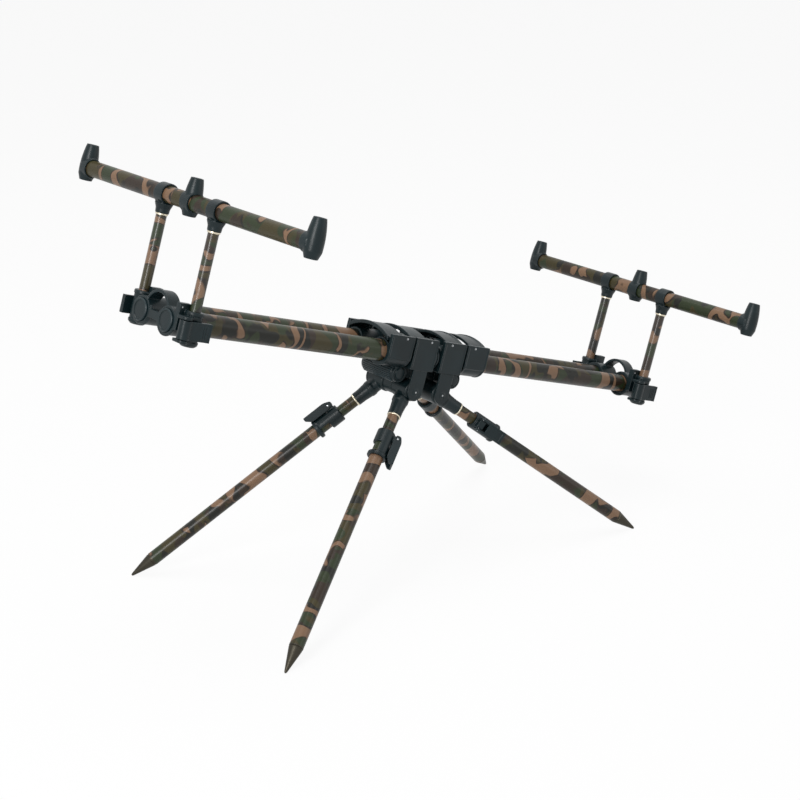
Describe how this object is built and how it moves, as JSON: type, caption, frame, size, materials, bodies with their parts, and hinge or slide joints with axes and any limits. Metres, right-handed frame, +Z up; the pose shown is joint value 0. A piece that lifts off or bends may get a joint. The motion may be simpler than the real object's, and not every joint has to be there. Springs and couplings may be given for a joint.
{
  "type": "rod pod",
  "caption": "Folding fishing rod pod: twin telescoping main bars on a hub with splayed telescopic legs, cam levers, and raised buzz bars with threaded rests front and rear.",
  "frame": {"origin": "on the ground, below the middle of the outline", "axes": "+X along the pod towards its low rear end, +Y across it to the far side, +Z up"},
  "size_m": [0.771, 0.44, 0.5147],
  "materials": {
    "camo_tube": "satin woodland camouflage",
    "black_nylon": "satin",
    "guide_nylon": "smooth",
    "pin_steel": "bright",
    "spike_metal": "satin dark"
  },
  "bodies": {
    "front_frame": {"front_bar_near": "camo_tube", "front_bar_far": "camo_tube", "front_bracket": "black_nylon", "front_bar_plugs": "black_nylon", "front_block": "black_nylon", "front_lever_pins": "pin_steel", "front_leg_pin": "pin_steel", "bar_bushes": "guide_nylon"},
    "rear_frame": {"rear_bar_near": "camo_tube", "rear_bar_far": "camo_tube", "rear_bracket": "black_nylon", "rear_bar_plugs": "black_nylon"},
    "rear_hub": {"rear_block": "black_nylon", "rear_lever_pins": "pin_steel", "rear_leg_pin": "pin_steel"},
    "front_inner_lever": {"front_inner_lever": "black_nylon"},
    "front_outer_lever": {"front_outer_lever": "black_nylon"},
    "front_near_leg": {"front_near_socket": "black_nylon", "front_near_upper_tube": "camo_tube"},
    "front_near_lower_leg": {"front_near_lower_tube": "camo_tube", "front_near_collar": "black_nylon", "front_near_spike": "spike_metal"},
    "front_near_lock_lever": {"front_near_lock_lever": "black_nylon"},
    "front_far_leg": {"front_far_socket": "black_nylon", "front_far_upper_tube": "camo_tube"},
    "front_far_lower_leg": {"front_far_lower_tube": "camo_tube", "front_far_collar": "black_nylon", "front_far_spike": "spike_metal"},
    "front_far_lock_lever": {"front_far_lock_lever": "black_nylon"},
    "front_buzz": {"front_buzz_bar": "camo_tube", "front_uprights": "camo_tube", "front_tees": "black_nylon", "front_rests": "black_nylon"},
    "front_clamp_lever_near": {"front_clamp_lever_near": "black_nylon"},
    "front_clamp_lever_far": {"front_clamp_lever_far": "black_nylon"},
    "rear_inner_lever": {"rear_inner_lever": "black_nylon"},
    "rear_outer_lever": {"rear_outer_lever": "black_nylon"},
    "rear_near_leg": {"rear_near_socket": "black_nylon", "rear_near_upper_tube": "camo_tube"},
    "rear_near_lower_leg": {"rear_near_lower_tube": "camo_tube", "rear_near_collar": "black_nylon", "rear_near_spike": "spike_metal"},
    "rear_near_lock_lever": {"rear_near_lock_lever": "black_nylon"},
    "rear_far_leg": {"rear_far_socket": "black_nylon", "rear_far_upper_tube": "camo_tube"},
    "rear_far_lower_leg": {"rear_far_lower_tube": "camo_tube", "rear_far_collar": "black_nylon", "rear_far_spike": "spike_metal"},
    "rear_far_lock_lever": {"rear_far_lock_lever": "black_nylon"},
    "rear_buzz": {"rear_buzz_bar": "camo_tube", "rear_uprights": "camo_tube", "rear_tees": "black_nylon", "rear_rests": "black_nylon"},
    "rear_clamp_lever_near": {"rear_clamp_lever_near": "black_nylon"},
    "rear_clamp_lever_far": {"rear_clamp_lever_far": "black_nylon"}
  },
  "joints": [
    {"name": "length_slide", "type": "slide", "parent": "front_frame", "child": "rear_frame", "axis": [0.9487, 0, -0.3162], "range_m": [0, 0.22]},
    {"name": "rear_hub_slide", "type": "slide", "parent": "rear_frame", "child": "rear_hub", "axis": [0.9487, 0, -0.3162], "range_m": [0, 0.19]},
    {"name": "front_inner_lever_hinge", "type": "hinge", "parent": "front_frame", "child": "front_inner_lever", "pos_m": [-0.02431, 0, 0.27945], "axis": [0, 1, 0], "range_deg": [0, 95]},
    {"name": "front_outer_lever_hinge", "type": "hinge", "parent": "front_frame", "child": "front_outer_lever", "pos_m": [-0.06132, 0, 0.29178], "axis": [0, 1, 0], "range_deg": [0, 95]},
    {"name": "front_near_leg_hinge", "type": "hinge", "parent": "front_frame", "child": "front_near_leg", "pos_m": [-0.04844, -0.0215, 0.22287], "axis": [0, 1, 0], "range_deg": [-29.2, 44.8]},
    {"name": "front_near_leg_slide", "type": "slide", "parent": "front_near_leg", "child": "front_near_lower_leg", "axis": [-0.7349, -0.3486, -0.5818], "range_m": [-0.018, 0.125]},
    {"name": "front_near_lock_lever_hinge", "type": "hinge", "parent": "front_near_lower_leg", "child": "front_near_lock_lever", "pos_m": [-0.09134, -0.0567, 0.17611], "axis": [-0.2784, -0.6272, 0.7274], "range_deg": [0, 110]},
    {"name": "front_far_leg_hinge", "type": "hinge", "parent": "front_frame", "child": "front_far_leg", "pos_m": [-0.04844, 0.0215, 0.22287], "axis": [0, 1, 0], "range_deg": [-29.2, 44.8]},
    {"name": "front_far_leg_slide", "type": "slide", "parent": "front_far_leg", "child": "front_far_lower_leg", "axis": [-0.7349, 0.3486, -0.5818], "range_m": [-0.018, 0.125]},
    {"name": "front_far_lock_lever_hinge", "type": "hinge", "parent": "front_far_lower_leg", "child": "front_far_lock_lever", "pos_m": [-0.10511, 0.05529, 0.19266], "axis": [0.6083, 0.718, -0.3382], "range_deg": [0, 110]},
    {"name": "front_buzz_height", "type": "slide", "parent": "front_frame", "child": "front_buzz", "axis": [0.3162, 0, 0.9487], "range_m": [-0.076, 0]},
    {"name": "front_clamp_lever_near_hinge", "type": "hinge", "parent": "front_frame", "child": "front_clamp_lever_near", "pos_m": [-0.37543, -0.0585, 0.37401], "axis": [-0.3162, 0, -0.9487], "range_deg": [0, 100]},
    {"name": "front_clamp_lever_far_hinge", "type": "hinge", "parent": "front_frame", "child": "front_clamp_lever_far", "pos_m": [-0.34697, 0.0585, 0.36452], "axis": [-0.3162, 0, -0.9487], "range_deg": [0, 100]},
    {"name": "rear_inner_lever_hinge", "type": "hinge", "parent": "rear_hub", "child": "rear_inner_lever", "pos_m": [0.00794, 0, 0.2687], "axis": [0, -1, 0], "range_deg": [0, 95]},
    {"name": "rear_outer_lever_hinge", "type": "hinge", "parent": "rear_hub", "child": "rear_outer_lever", "pos_m": [0.04494, 0, 0.25637], "axis": [0, -1, 0], "range_deg": [0, 95]},
    {"name": "rear_near_leg_hinge", "type": "hinge", "parent": "rear_hub", "child": "rear_near_leg", "pos_m": [-0.0067, -0.0215, 0.20896], "axis": [0, -1, 0], "range_deg": [-63.3, 10.7]},
    {"name": "rear_near_leg_slide", "type": "slide", "parent": "rear_near_leg", "child": "rear_near_lower_leg", "axis": [0.706, -0.3486, -0.6165], "range_m": [-0.018, 0.125]},
    {"name": "rear_near_lock_lever_hinge", "type": "hinge", "parent": "rear_near_lower_leg", "child": "rear_near_lock_lever", "pos_m": [0.03799, -0.06014, 0.16682], "axis": [-0.6086, 0.1466, -0.7798], "range_deg": [0, 110]},
    {"name": "rear_far_leg_hinge", "type": "hinge", "parent": "rear_hub", "child": "rear_far_leg", "pos_m": [-0.0067, 0.0215, 0.20896], "axis": [0, -1, 0], "range_deg": [-63.3, 10.7]},
    {"name": "rear_far_leg_slide", "type": "slide", "parent": "rear_far_leg", "child": "rear_far_lower_leg", "axis": [0.706, 0.3486, -0.6165], "range_m": [-0.018, 0.125]},
    {"name": "rear_far_lock_lever_hinge", "type": "hinge", "parent": "rear_far_lower_leg", "child": "rear_far_lock_lever", "pos_m": [0.04273, 0.05962, 0.17195], "axis": [0.7067, -0.2896, 0.6455], "range_deg": [0, 110]},
    {"name": "rear_buzz_height", "type": "slide", "parent": "rear_frame", "child": "rear_buzz", "axis": [0.3162, 0, 0.9487], "range_m": [-0.076, 0]},
    {"name": "rear_clamp_lever_near_hinge", "type": "hinge", "parent": "rear_frame", "child": "rear_clamp_lever_near", "pos_m": [0.31713, -0.0585, 0.14321], "axis": [-0.3162, 0, -0.9487], "range_deg": [0, 100]},
    {"name": "rear_clamp_lever_far_hinge", "type": "hinge", "parent": "rear_frame", "child": "rear_clamp_lever_far", "pos_m": [0.34559, 0.0585, 0.13373], "axis": [-0.3162, 0, -0.9487], "range_deg": [0, 100]}
  ]
}
